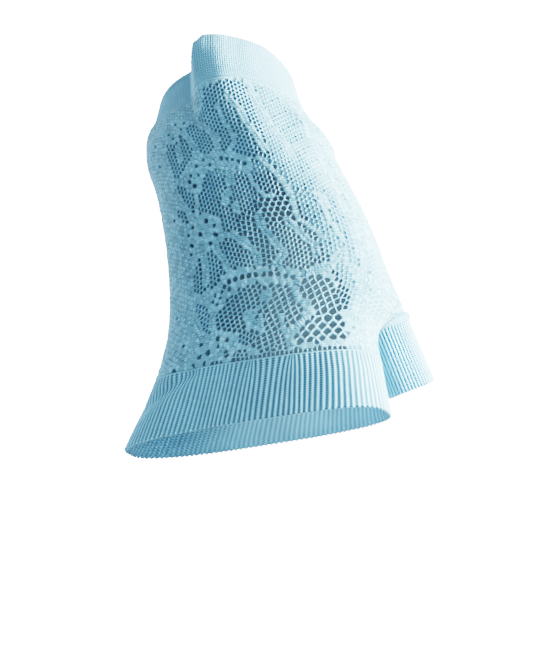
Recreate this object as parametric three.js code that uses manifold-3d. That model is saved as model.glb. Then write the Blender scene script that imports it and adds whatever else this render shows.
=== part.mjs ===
import * as THREE from "three";
import Module from "manifold-3d";

// Right-hand lace fingerless glove in its worn form. Millimetres; the origin is the middle
// of the wrist opening, +Z runs up to the forearm, -Y is the back of the hand and +X the
// thumb side. "turn" is a fraction of a full turn round the tube: 0 little-finger side,
// 0.25 back of the hand, 0.5 index side, 0.75 palm. "along" is measured down the cloth
// from the wrist rim.

// Cloth
const LACE_WALL = 1.2;
const RIB_WALL = 1.8;
const RIB_RELIEF = 0.3;
const RIBS_ROUND = 112;
const PIECE_GAP = 0.3;

// Zones along the cloth
const WELT_END = 17.5;
const BAND_START = 118;
const TUBE_LENGTH = 140;
const AROUND = 185;

// Form of the tube: one row per section. lean lifts the back of the hand and roll the
// thumb side (degrees); square is the exponent of the section's superellipse.
const SECTION_COLUMNS = ["z", "x", "y", "halfWidth", "halfDepth", "lean", "roll", "square"];
const SECTIONS = [
  [0, -8.5, 0, 25.5, 22, 40, 0, 2.1],
  [-13, -5.1, -6, 28.5, 21, 34, 0, 2.1],
  [-27, 0.2, -11, 33.6, 20, 25, 0, 2.2],
  [-42, 7.9, -15, 35, 18.5, 15, 0, 2.3],
  [-57, 14.2, -18, 36.6, 17.5, 8, 0, 2.4],
  [-72, 18.4, -19, 38.3, 17, 4, 0, 2.5],
  [-85, 20.3, -20, 38.9, 16.5, 2, 0, 2.6],
  [-97, 18, -20, 37.4, 16, 1, 0, 2.7],
  [-112, 15.9, -20, 40.7, 15.5, 0, 1.5, 2.8],
  [-131, 12.2, -20, 47.8, 15, 2, 3, 2.8],
];

// The wrist rim: how far it rises, stands out and shifts sideways round the opening.
// The step at 0.205 to 0.245 is the standing fold at the back of the hand.
const RIM_COLUMNS = ["turn", "rise", "out", "side"];
const RIM = [
  [0, -6.5, 0, -1],
  [0.1, -8, 0, -0.5],
  [0.205, -8, 0, 0],
  [0.245, 0.3, 3.8, -2.6],
  [0.285, -0.6, 4.4, -0.8],
  [0.34, 0.6, 3, 0],
  [0.4, 1.6, 1.8, 0.3],
  [0.47, 1, 0.6, 1.2],
  [0.56, 0, 0, 0],
  [0.88, 0, 0, 0],
  [1, -6.5, 0, -1],
];
const RIM_DEPTH = 44;
const RIM_FALL = 1.6;

// Soft folds: a rounded ridge (height above 0) or crease (below 0) along a line
const FOLD_COLUMNS = ["turnA", "zA", "turnB", "zB", "width", "height"];
const FOLDS = [
  [0.285, -2, 0.32, -36, 6, 1],
  [0.32, -36, 0.43, -74, 9, 1.3],
  [0.43, -27, 0.53, -29, 3, 1.6],
  [0.05, -119, 0.14, -111, 2.6, -1.3],
  [0.97, -22, 0.08, -17, 3, 1],
  [0.66, -24, 0.74, -40, 5, -1.5],
  [0.8, -30, 0.9, -48, 5, -1.3],
];

// Thumb: the ring where the cuff is seamed on, and the place of its hole in the cloth
const THUMB = {
  centre: [50.7, -1.6, -91.4],
  axis: [0.218, 0.418, -0.882],
  sideways: [0.906, 0.423, 0],
  ringRadius: 8.3,
  turn: 0.585,
  along: 100,
  hole: 9,
  reach: 22,
  twist: 35,
  flangeAbove: 0.1,
  flangeBelow: 0.9,
};
const CUFF_LENGTH = 25;
const CUFF_RIBS = 34;
const CUFF_COLUMNS = ["down", "radius"];
const CUFF_PROFILE = [
  [0.3, 8.6],
  [1.4, 9.2],
  [3.2, 8.6],
  [25, 9],
];

// Facets
const WELT_POINTS = 112;
const BAND_INNER_POINTS = 56;
const WELT_STEPS = 3;
const BAND_STEPS = 2;
const LACE_COLUMNS = 48;
const LACE_ROWS = 18;
const LACE_HEM = 1.2;
const THUMB_BLOCK = { columnFrom: 25, columnTo: 31, rowFrom: 13, rowTo: 17, rings: 3 };

// Openwork cut through the lace: place round the tube (mm from turn 0 at AROUND mm a turn),
// place along the cloth, and size across and along
const EYELET_COLUMNS = ["across", "along", "width", "height"];
const EYELETS = [
  [28, 72, 1.9, 2], [33.7, 73, 1.9, 2], [23.2, 75, 1.4, 1.8], [31.1, 67.6, 1.6, 1.6],
  [33.9, 69.6, 1.4, 1.5], [31, 75.6, 1.3, 1.4], [31.6, 113.5, 2.2, 2.1], [38, 114, 2.1, 1.9],
  [34.6, 109.2, 1.4, 1.5], [38, 110.2, 1.4, 1.3], [28.2, 110.2, 1.5, 1.6], [28.2, 114.3, 1.3, 1.4],
  [30, 54, 1.6, 1.6], [28.4, 52, 1.4, 1.6],
];

// Bowed rows of eyelets over each shell of the lace
const ARCH_COLUMNS = ["fromAcross", "fromAlong", "toAcross", "toAlong", "bow", "count", "width", "height"];
const ARCHES = [
  [32.5, 48.2, 50, 48.6, 2.4, 8, 1.3, 1.7],
  [36, 90.2, 59, 91.6, 1.7, 10, 1.5, 1.7],
  [30.4, 97, 35, 92, 0.2, 4, 1.3, 1.5],
];

// Nets with the coarser meshes: a leaning four-sided patch filled with staggered meshes
const NET_COLUMNS = ["across", "along", "columns", "rows", "stepAcross", "stepAlong", "lean", "width", "height"];
const NETS = [
  [65, 105.2, 4, 6, 3.4, 1.95, -0.12, 2, 1.9],
  [52.6, 94.2, 3, 8, 3.4, 1.75, 0.28, 1.5, 1.45],
];

const WIDE_MESH = 1.8;
const CUT_DEPTH = 3;

const SAMPLE_COLUMNS = 360;
const SAMPLE_ROWS = 160;
const SECTION_POINTS = 540;
const DEGREE = Math.PI / 180;

const named = (columns, row) => Object.fromEntries(columns.map((name, i) => [name, row[i]]));
const mix = (a, b, f) => a + (b - a) * f;
const smooth = (x) => {
  const f = Math.min(1, Math.max(0, x));
  return f * f * (3 - 2 * f);
};
const halfTurn = (turn) => turn - Math.floor(turn + 0.5);

// Smooth curve through the rows of a table
function through(rows, part) {
  const last = rows.length - 1;
  const place = Math.min(1, Math.max(0, part)) * last;
  const i = Math.min(Math.floor(place), last - 1);
  const f = place - i;
  return rows[i].map((here, k) => {
    const next = rows[i + 1][k];
    const before = i === 0 ? 2 * here - next : rows[i - 1][k];
    const after = i === last - 1 ? 2 * next - here : rows[i + 2][k];
    return 0.5 * (2 * here + (next - before) * f
      + (2 * before - 5 * here + 4 * next - after) * f * f
      + (3 * here - before - 3 * next + after) * f * f * f);
  });
}

function rimAt(turn) {
  let i = 0;
  while (i < RIM.length - 2 && turn >= RIM[i + 1][0]) i += 1;
  const f = smooth((turn - RIM[i][0]) / (RIM[i + 1][0] - RIM[i][0]));
  return named(RIM_COLUMNS, RIM[i].map((v, k) => mix(v, RIM[i + 1][k], f)));
}

function foldHeight(turn, z) {
  let height = 0;
  for (const row of FOLDS) {
    const fold = named(FOLD_COLUMNS, row);
    const runAcross = halfTurn(fold.turnB - fold.turnA) * AROUND;
    const runDown = fold.zB - fold.zA;
    const across = halfTurn(turn - fold.turnA) * AROUND;
    const down = z - fold.zA;
    const s = Math.min(1, Math.max(0, (across * runAcross + down * runDown)
      / (runAcross ** 2 + runDown ** 2)));
    const off = (across - s * runAcross) ** 2 + (down - s * runDown) ** 2;
    height += fold.height * Math.exp(-off / fold.width ** 2);
  }
  return height;
}

// One section of the tube, evenly spaced round its outline
function sectionLoop(row) {
  const s = named(SECTION_COLUMNS, row);
  const outline = [];
  for (let i = 0; i <= SECTION_POINTS; i += 1) {
    const a = (2 * Math.PI * i) / SECTION_POINTS;
    const c = Math.cos(a);
    const d = Math.sin(a);
    outline.push([
      -s.halfWidth * Math.sign(c) * Math.abs(c) ** (2 / s.square),
      -s.halfDepth * Math.sign(d) * Math.abs(d) ** (2 / s.square),
    ]);
  }
  const run = [0];
  for (let i = 1; i < outline.length; i += 1) {
    run.push(run[i - 1] + Math.hypot(outline[i][0] - outline[i - 1][0], outline[i][1] - outline[i - 1][1]));
  }
  const fall = smooth(1 + s.z / RIM_DEPTH);
  const lean = s.lean * DEGREE;
  const roll = s.roll * DEGREE;
  const loop = [];
  let k = 0;
  for (let i = 0; i < SAMPLE_COLUMNS; i += 1) {
    const turn = i / SAMPLE_COLUMNS;
    const want = turn * run[SECTION_POINTS];
    while (k < SECTION_POINTS - 1 && run[k + 1] < want) k += 1;
    const f = (want - run[k]) / (run[k + 1] - run[k]);
    let x = mix(outline[k][0], outline[k + 1][0], f);
    let y = mix(outline[k][1], outline[k + 1][1], f);
    const swell = 1 + foldHeight(turn, s.z) / Math.hypot(x, y);
    const rim = rimAt(turn);
    x = x * swell + rim.side * fall;
    y = y * swell - rim.out * fall;
    const lift = -y * Math.sin(lean) + x * Math.sin(roll) + rim.rise * fall ** RIM_FALL;
    loop.push(new THREE.Vector3(s.x + x * Math.cos(roll), s.y + y * Math.cos(lean), s.z + lift));
  }
  return loop;
}

const sampled = [];
for (let j = 0; j < SAMPLE_ROWS; j += 1) {
  sampled.push(sectionLoop(through(SECTIONS, j / (SAMPLE_ROWS - 1))));
}
const downCloth = [0];
for (let j = 1; j < SAMPLE_ROWS; j += 1) {
  let sum = 0;
  for (let i = 0; i < SAMPLE_COLUMNS; i += 1) sum += sampled[j][i].distanceTo(sampled[j - 1][i]);
  downCloth.push(downCloth[j - 1] + sum / SAMPLE_COLUMNS);
}

function tubePoint(turn, along) {
  const want = Math.min(downCloth[SAMPLE_ROWS - 1], Math.max(0, along * downCloth[SAMPLE_ROWS - 1] / TUBE_LENGTH));
  let j = 0;
  while (j < SAMPLE_ROWS - 2 && downCloth[j + 1] < want) j += 1;
  const fj = (want - downCloth[j]) / (downCloth[j + 1] - downCloth[j]);
  const place = (turn - Math.floor(turn)) * SAMPLE_COLUMNS;
  const i = Math.floor(place) % SAMPLE_COLUMNS;
  const next = (i + 1) % SAMPLE_COLUMNS;
  const fi = place - Math.floor(place);
  const upper = sampled[j][i].clone().lerp(sampled[j][next], fi);
  const lower = sampled[j + 1][i].clone().lerp(sampled[j + 1][next], fi);
  return upper.lerp(lower, fj);
}

const thumbAxis = new THREE.Vector3(...THUMB.axis).normalize();
const thumbCentre = new THREE.Vector3(...THUMB.centre);
const ringRight = new THREE.Vector3(...THUMB.sideways);
ringRight.addScaledVector(thumbAxis, -ringRight.dot(thumbAxis)).normalize();
const ringFront = new THREE.Vector3().crossVectors(thumbAxis, ringRight);

function ringDirection(angle) {
  const a = angle + THUMB.twist * DEGREE;
  return new THREE.Vector3().addScaledVector(ringFront, -Math.cos(a)).addScaledVector(ringRight, -Math.sin(a));
}

const ringPoint = (angle, out, down) => thumbCentre.clone()
  .addScaledVector(ringDirection(angle), THUMB.ringRadius + out)
  .addScaledVector(thumbAxis, down);

// The tube, drawn out to the thumb ring round the thumb hole
function clothPoint(turn, along) {
  const point = tubePoint(turn, along);
  const across = halfTurn(turn - THUMB.turn) * AROUND;
  const down = along - THUMB.along;
  const far = Math.hypot(across, down);
  const pull = 1 - smooth((far - THUMB.hole) / (THUMB.reach - THUMB.hole));
  if (pull <= 0) return point;
  const angle = Math.atan2(down, across);
  const flange = mix(THUMB.flangeAbove, THUMB.flangeBelow, 0.5 + 0.5 * Math.sin(angle));
  const spread = THUMB.ringRadius + flange * (far - THUMB.hole);
  const ring = thumbCentre.clone().addScaledVector(ringDirection(angle), spread);
  return point.lerp(ring, pull);
}

const NORMAL_STEP = 0.9;
function clothNormal(turn, along) {
  const step = NORMAL_STEP / AROUND;
  const round = clothPoint(turn + step, along).sub(clothPoint(turn - step, along));
  const above = Math.max(0, along - NORMAL_STEP);
  const below = Math.min(TUBE_LENGTH, along + NORMAL_STEP);
  const down = clothPoint(turn, below).sub(clothPoint(turn, above));
  return down.cross(round).normalize();
}

const cloth = (turn, along, out) => clothPoint(turn, along).addScaledVector(clothNormal(turn, along), out);

// A solid built from shared points and triangles
class Shell {
  constructor() {
    this.points = [];
    this.triangles = [];
  }

  add(point) {
    this.points.push(point);
    return this.points.length - 1;
  }

  loop(count, at) {
    return Array.from({ length: count }, (_, i) => this.add(at(i / count)));
  }

  // Triangles between two closed loops, whose points may differ in number
  join(upper, lower) {
    let i = 0;
    let j = 0;
    while (i < upper.length || j < lower.length) {
      const a = upper[i % upper.length];
      const b = lower[j % lower.length];
      if (j >= lower.length || (i < upper.length && (i + 1) / upper.length <= (j + 1) / lower.length)) {
        this.triangles.push([a, b, upper[(i + 1) % upper.length]]);
        i += 1;
      } else {
        this.triangles.push([a, b, lower[(j + 1) % lower.length]]);
        j += 1;
      }
    }
  }

  volume() {
    return this.triangles.reduce((sum, [a, b, c]) => sum
      + this.points[a].dot(new THREE.Vector3().crossVectors(this.points[b], this.points[c])) / 6, 0);
  }

  geometry() {
    const flip = this.volume() < 0;
    const geometry = new THREE.BufferGeometry();
    geometry.setAttribute("position", new THREE.Float32BufferAttribute(this.points.flatMap((p) => p.toArray()), 3));
    geometry.setIndex(this.triangles.flatMap(([a, b, c]) => (flip ? [a, c, b] : [a, b, c])));
    return geometry;
  }
}

// Rib knit: ribs outside, smooth inside, open at both ends
function ribbedTube(outerPoints, innerPoints, relief, stops, place) {
  const shell = new Shell();
  const outer = stops.map((s) => shell.loop(outerPoints, (f) => {
    const crest = Math.round(f * outerPoints) % 2 === 0;
    return place(f, s, crest ? relief : 0);
  }));
  const inner = stops.map((s) => shell.loop(innerPoints, (f) => place(f, s, RIB_RELIEF - RIB_WALL)));
  for (let k = 1; k < stops.length; k += 1) {
    shell.join(outer[k - 1], outer[k]);
    shell.join(inner[k], inner[k - 1]);
  }
  shell.join(inner[0], outer[0]);
  shell.join(outer[stops.length - 1], inner[stops.length - 1]);
  return shell.geometry();
}

const spaced = (from, to, steps) => Array.from({ length: steps + 1 }, (_, k) => mix(from, to, k / steps));

// The wrist ribs are too fine and flat to facet, so this welt has no relief outside
function wristWelt() {
  const stops = spaced(0, WELT_END - PIECE_GAP / 2, WELT_STEPS);
  return ribbedTube(WELT_POINTS, WELT_POINTS, 0, stops, cloth);
}

function fingerBand() {
  const stops = spaced(BAND_START + PIECE_GAP / 2, TUBE_LENGTH, BAND_STEPS);
  return ribbedTube(RIBS_ROUND * 2, BAND_INNER_POINTS, RIB_RELIEF, stops, cloth);
}

function thumbCuff() {
  const profile = CUFF_PROFILE.map((row) => named(CUFF_COLUMNS, row));
  const radiusAt = (down) => {
    let i = 0;
    while (i < profile.length - 2 && down > profile[i + 1].down) i += 1;
    const f = (down - profile[i].down) / (profile[i + 1].down - profile[i].down);
    return mix(profile[i].radius, profile[i + 1].radius, f);
  };
  const stops = profile.map((row) => row.down * CUFF_LENGTH / profile[profile.length - 1].down);
  return ribbedTube(CUFF_RIBS * 2, CUFF_RIBS, RIB_RELIEF, stops, (f, down, out) => (
    ringPoint(f * 2 * Math.PI, radiusAt(down) - THUMB.ringRadius + out, down)));
}

// Lace tube before its meshes are cut: two skins joined at the wrist, the band and the thumb
function laceShell() {
  const shell = new Shell();
  const top = WELT_END + PIECE_GAP / 2;
  const bottom = BAND_START - PIECE_GAP / 2;
  const block = THUMB_BLOCK;
  const alongOf = (row) => mix(top + LACE_HEM, bottom, row / LACE_ROWS);
  const borders = [0, -LACE_WALL].map((out) => {
    const grid = [];
    for (let row = 0; row <= LACE_ROWS; row += 1) {
      grid.push(shell.loop(LACE_COLUMNS, (f) => cloth(f, alongOf(row), out)));
    }
    const outside = out === 0;
    const face = (a, b, c) => shell.triangles.push(outside ? [a, b, c] : [a, c, b]);
    const upper = shell.loop(WELT_POINTS, (f) => cloth(f, top, out));
    if (outside) shell.join(upper, grid[0]);
    else shell.join(grid[0], upper);
    for (let row = 0; row < LACE_ROWS; row += 1) {
      for (let col = 0; col < LACE_COLUMNS; col += 1) {
        const inBlock = row >= block.rowFrom && row < block.rowTo
          && col >= block.columnFrom && col < block.columnTo;
        if (inBlock) continue;
        const next = (col + 1) % LACE_COLUMNS;
        face(grid[row][col], grid[row + 1][col], grid[row + 1][next]);
        face(grid[row][col], grid[row + 1][next], grid[row][next]);
      }
    }
    const edge = [];
    for (let col = block.columnFrom; col < block.columnTo; col += 1) edge.push([col, block.rowFrom]);
    for (let row = block.rowFrom; row < block.rowTo; row += 1) edge.push([block.columnTo, row]);
    for (let col = block.columnTo; col > block.columnFrom; col -= 1) edge.push([col, block.rowTo]);
    for (let row = block.rowTo; row > block.rowFrom; row -= 1) edge.push([block.columnFrom, row]);
    let around = edge.map(([col, row]) => grid[row][col]);
    for (let ring = 1; ring <= block.rings; ring += 1) {
      const f = ring / block.rings;
      const inward = edge.map(([col, row]) => {
        const across = (col / LACE_COLUMNS - THUMB.turn) * AROUND;
        const down = alongOf(row) - THUMB.along;
        const scale = mix(1, THUMB.hole / Math.hypot(across, down), f);
        if (ring === block.rings) return shell.add(ringPoint(Math.atan2(down, across), out, 0));
        return shell.add(cloth(THUMB.turn + across * scale / AROUND, THUMB.along + down * scale, out));
      });
      for (let k = 0; k < edge.length; k += 1) {
        const m = (k + 1) % edge.length;
        face(around[k], inward[k], inward[m]);
        face(around[k], inward[m], around[m]);
      }
      around = inward;
    }
    return { upper, lower: grid[LACE_ROWS], thumb: around };
  });
  const wall = (from, to, flip) => from.forEach((a, k) => {
    const m = (k + 1) % from.length;
    shell.triangles.push(flip ? [a, to[m], to[k]] : [a, to[k], to[m]]);
    shell.triangles.push(flip ? [a, from[m], to[m]] : [a, to[m], from[m]]);
  });
  wall(borders[0].upper, borders[1].upper, true);
  wall(borders[0].lower, borders[1].lower, false);
  wall(borders[0].thumb, borders[1].thumb, false);
  return shell.geometry();
}

// A short plug through the cloth for each mesh or eyelet: six-sided for the wide ones and
// a lozenge for the others
function plug(across, along, width, height) {
  const sides = width >= WIDE_MESH ? 6 : 4;
  const turn = across / AROUND;
  const middle = cloth(turn, along, -LACE_WALL / 2);
  const out = clothNormal(turn, along);
  const down = clothPoint(turn, along + 1).sub(clothPoint(turn, along - 1));
  down.addScaledVector(out, -down.dot(out)).normalize();
  const side = new THREE.Vector3().crossVectors(out, down);
  const shell = new Shell();
  const ends = [CUT_DEPTH / 2, -CUT_DEPTH / 2].map((depth) => shell.loop(sides, (f) => middle.clone()
    .addScaledVector(out, depth)
    .addScaledVector(side, Math.sin(f * 2 * Math.PI) * width / 2)
    .addScaledVector(down, Math.cos(f * 2 * Math.PI) * height / 2)));
  shell.join(ends[0], ends[1]);
  for (let k = 1; k < sides - 1; k += 1) {
    shell.triangles.push([ends[0][0], ends[0][k], ends[0][k + 1]]);
    shell.triangles.push([ends[1][0], ends[1][k + 1], ends[1][k]]);
  }
  return shell.geometry();
}

function plugs() {
  const made = EYELETS.map((row) => named(EYELET_COLUMNS, row)).map((e) => plug(e.across, e.along, e.width, e.height));
  for (const arch of ARCHES.map((row) => named(ARCH_COLUMNS, row))) {
    for (let k = 0; k < arch.count; k += 1) {
      const f = k / (arch.count - 1);
      const rise = arch.bow * 4 * f * (1 - f);
      const along = mix(arch.fromAlong, arch.toAlong, f) - rise;
      made.push(plug(mix(arch.fromAcross, arch.toAcross, f), along, arch.width, arch.height));
    }
  }
  for (const net of NETS.map((row) => named(NET_COLUMNS, row))) {
    for (let row = 0; row < net.rows; row += 1) {
      const down = row * net.stepAlong;
      const stagger = (row % 2) * net.stepAcross / 2;
      for (let col = 0; col < net.columns; col += 1) {
        const across = net.across + col * net.stepAcross + stagger + down * net.lean;
        made.push(plug(across, net.along + down, net.width, net.height));
      }
    }
  }
  return made;
}

const wasm = await Module();
wasm.setup();

function toSolid(geometry) {
  return new wasm.Manifold(new wasm.Mesh({
    numProp: 3,
    vertProperties: new Float32Array(geometry.getAttribute("position").array),
    triVerts: new Uint32Array(geometry.getIndex().array),
  }));
}

function laceBody() {
  const tools = plugs().map(toSolid);
  const all = tools.reduce((sum, tool) => sum.add(tool));
  const cut = toSolid(laceShell()).subtract(all).getMesh();
  const geometry = new THREE.BufferGeometry();
  geometry.setAttribute("position", new THREE.Float32BufferAttribute(cut.vertProperties, 3));
  geometry.setIndex(Array.from(cut.triVerts));
  return geometry;
}

const LIGHT_BLUE = 0x8fc6d9;
const PALE_BLUE = 0x9bcfe0;
const DEEP_BLUE = 0x7fb9cf;
const SOFT_BLUE = 0x88c0d5;
const group = new THREE.Group();
group.name = "lace_fingerless_glove";
const PIECES = [
  ["wrist_welt", wristWelt, LIGHT_BLUE],
  ["lace_body", laceBody, DEEP_BLUE],
  ["thumb_cuff", thumbCuff, SOFT_BLUE],
  ["finger_band", fingerBand, PALE_BLUE],
];
for (const [name, make, colour] of PIECES) {
  const material = new THREE.MeshStandardMaterial({ color: colour, roughness: 0.85, metalness: 0 });
  const mesh = new THREE.Mesh(make(), material);
  mesh.name = name;
  group.add(mesh);
}

export default group;
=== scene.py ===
import math
import random

import bmesh
import bpy
import numpy as np
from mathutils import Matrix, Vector
from mathutils.geometry import delaunay_2d_cdt
from mathutils.kdtree import KDTree


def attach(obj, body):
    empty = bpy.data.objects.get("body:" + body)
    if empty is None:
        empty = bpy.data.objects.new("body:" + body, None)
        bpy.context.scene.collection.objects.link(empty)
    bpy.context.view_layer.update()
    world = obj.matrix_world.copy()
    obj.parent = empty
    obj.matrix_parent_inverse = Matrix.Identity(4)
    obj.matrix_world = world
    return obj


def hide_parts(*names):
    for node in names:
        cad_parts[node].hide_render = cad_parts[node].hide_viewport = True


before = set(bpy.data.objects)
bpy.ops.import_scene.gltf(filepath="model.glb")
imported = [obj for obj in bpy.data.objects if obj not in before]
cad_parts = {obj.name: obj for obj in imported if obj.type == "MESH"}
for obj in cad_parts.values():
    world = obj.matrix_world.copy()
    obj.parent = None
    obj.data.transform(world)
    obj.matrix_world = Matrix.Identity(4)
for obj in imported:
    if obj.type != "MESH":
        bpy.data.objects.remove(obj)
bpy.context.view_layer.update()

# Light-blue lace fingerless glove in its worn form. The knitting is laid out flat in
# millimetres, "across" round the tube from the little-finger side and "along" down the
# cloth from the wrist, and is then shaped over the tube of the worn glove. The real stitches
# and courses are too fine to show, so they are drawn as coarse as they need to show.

MM = 0.001

# Zones along the cloth and the nominal way round it
WELT_END = 17.5
BAND_START = 118
TUBE_LENGTH = 140
AROUND = 185

# Form of the tube, a row for each section. lean lifts its back and roll its thumb side, in
# degrees, and square is the exponent of the section's superellipse.
# columns: z, x, y, half_width, half_depth, lean, roll, square
SECTIONS = [
    [0, -8.5, 0, 25.5, 22, 40, 0, 2.1],
    [-13, -5.1, -6, 28.5, 21, 34, 0, 2.1],
    [-27, 0.2, -11, 33.6, 20, 25, 0, 2.2],
    [-42, 7.9, -15, 35, 18.5, 15, 0, 2.3],
    [-57, 14.2, -18, 36.6, 17.5, 8, 0, 2.4],
    [-72, 18.4, -19, 38.3, 17, 4, 0, 2.5],
    [-85, 20.3, -20, 38.9, 16.5, 2, 0, 2.6],
    [-97, 18, -20, 37.4, 16, 1, 0, 2.7],
    [-112, 15.9, -20, 40.7, 15.5, 0, 1.5, 2.8],
    [-131, 12.2, -20, 47.8, 15, 2, 3, 2.8],
]

# The wrist rim: how far it rises, stands out and shifts sideways round the opening
# columns: turn, rise, out, side
RIM = [
    [0, -6.5, 0, -1],
    [0.1, -8, 0, -0.5],
    [0.205, -8, 0, 0],
    [0.245, -1.3, 3.8, -2.6],
    [0.263, 0.1, 4.1, -1.9],
    [0.285, -0.6, 4.4, -0.8],
    [0.34, 0.6, 3, 0],
    [0.4, 1.6, 1.8, 0.3],
    [0.47, 1, 0.6, 1.2],
    [0.56, 0, 0, 0],
    [0.88, 0, 0, 0],
    [1, -6.5, 0, -1],
]
RIM_DEPTH = 44
RIM_FALL = 1.6

# Soft folds: a rounded ridge (rise above 0) or crease (below 0) along a line
# columns: turn_a, z_a, turn_b, z_b, width, rise
FOLDS = [
    [0.425, -118, 0.43, -131, 8.5, 1.8],
    [0.225, -3, 0.25, -4, 3.5, 1.1],
    [0.285, -2, 0.32, -36, 6, 1],
    [0.32, -36, 0.43, -74, 9, 1.3],
    [0.43, -27, 0.53, -29, 3, 1.6],
    [0.05, -119, 0.14, -111, 2.6, -1.3],
    [0.97, -22, 0.08, -17, 3, 1],
    [0.66, -24, 0.74, -40, 5, -1.5],
    [0.8, -30, 0.9, -48, 5, -1.3],
]

# Thumb: the ring that the cuff is seamed on, and the place of its hole in the cloth
THUMB_CENTRE = np.array([50.7, -1.6, -91.4])
THUMB_AXIS = np.array([0.218, 0.418, -0.882])
THUMB_SIDEWAYS = np.array([0.906, 0.423, 0])
THUMB_RING = 8.3
THUMB_ACROSS = 0.585 * AROUND
THUMB_ALONG = 100
THUMB_HOLE = 9
THUMB_REACH = 22
THUMB_TWIST = math.radians(35)
FLANGE_ABOVE = 0.1
FLANGE_BELOW = 0.9
CUFF_LENGTH = 25

# Knitting: the ribs round the finger band and the thumb cuff, the fine wales of the wrist
# welt, and the height of a course
RIBS = 120
CUFF_RIBS = 48
WELT_WALES = 224
COURSE = 0.85

# Lace net: the pitch of a stitch, coarser than the real one so that it shows, its columns,
# each a little lower than the one before by 56 courses in a turn, and the widths of yarn
# left round a mesh
LACE_COLUMNS = 138
STITCH_ACROSS = AROUND / LACE_COLUMNS
STITCH_ALONG = 1.66
COLUMN_DROP = 56 / LACE_COLUMNS * STITCH_ALONG
LACE_GAP = 0.1
LACE_TOP = WELT_END + LACE_GAP
LACE_BOTTOM = BAND_START - LACE_GAP
YARN_FINE = 0.3
YARN_SNUG = 0.36
YARN_WIDE = 0.37
YARN_COARSE = 0.58

# Eyelets; columns: across, along, and where it isn't a small one its size across and along
EYELETS = [
    [28, 72, 1.9, 2], [33.7, 73, 1.9, 2], [23.2, 75, 1.4, 1.8], [31.1, 67.6, 1.6, 1.6],
    [33.9, 69.6, 1.4, 1.5], [31, 75.6, 1.3, 1.4], [31.6, 113.5, 2.2, 2.1], [38, 114, 2.1, 1.9],
    [34.6, 109.2, 1.4, 1.5], [38, 110.2, 1.4, 1.3], [28.2, 110.2, 1.5, 1.6], [28.2, 114.3, 1.3, 1.4],
    [30, 54, 1.6, 1.6], [28.4, 52, 1.4, 1.6], [29.4, 49.8, 1.2, 1.4], [32.6, 50.4, 1, 1.2],
    [35, 112], [30.8, 116.4], [26, 116.4], [22.5, 71], [25, 68.6], [22.4, 78], [18.4, 117],
    [30, 27], [34, 28], [26, 30.5], [27.4, 33], [18, 32], [32, 30.4], [36.5, 45.2], [38.5, 47.6],
    [14.5, 99], [12, 88], [17, 64], [9, 74], [13, 52], [6.5, 106], [16.5, 41], [20.5, 109.5],
    [31, 94], [33, 95.4], [30.2, 96.2], [32, 97.4], [36.4, 93], [34.4, 91.6],
]
SMALL_HOLE = 0.9

# Bowed rows of eyelets over each shell of the lace
# columns: from_across, from_along, to_across, to_along, bow, count, hole
ARCHES = [
    [33, 47, 36.5, 45, 0, 2, 1.3],
    [43.9, 46, 51.8, 49.4, 0.3, 5, 1.5],
    [36, 90.2, 59, 91.6, 1.7, 10, 1.6],
    [30.4, 97, 35, 92, 0.2, 4, 1.4],
]

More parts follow.
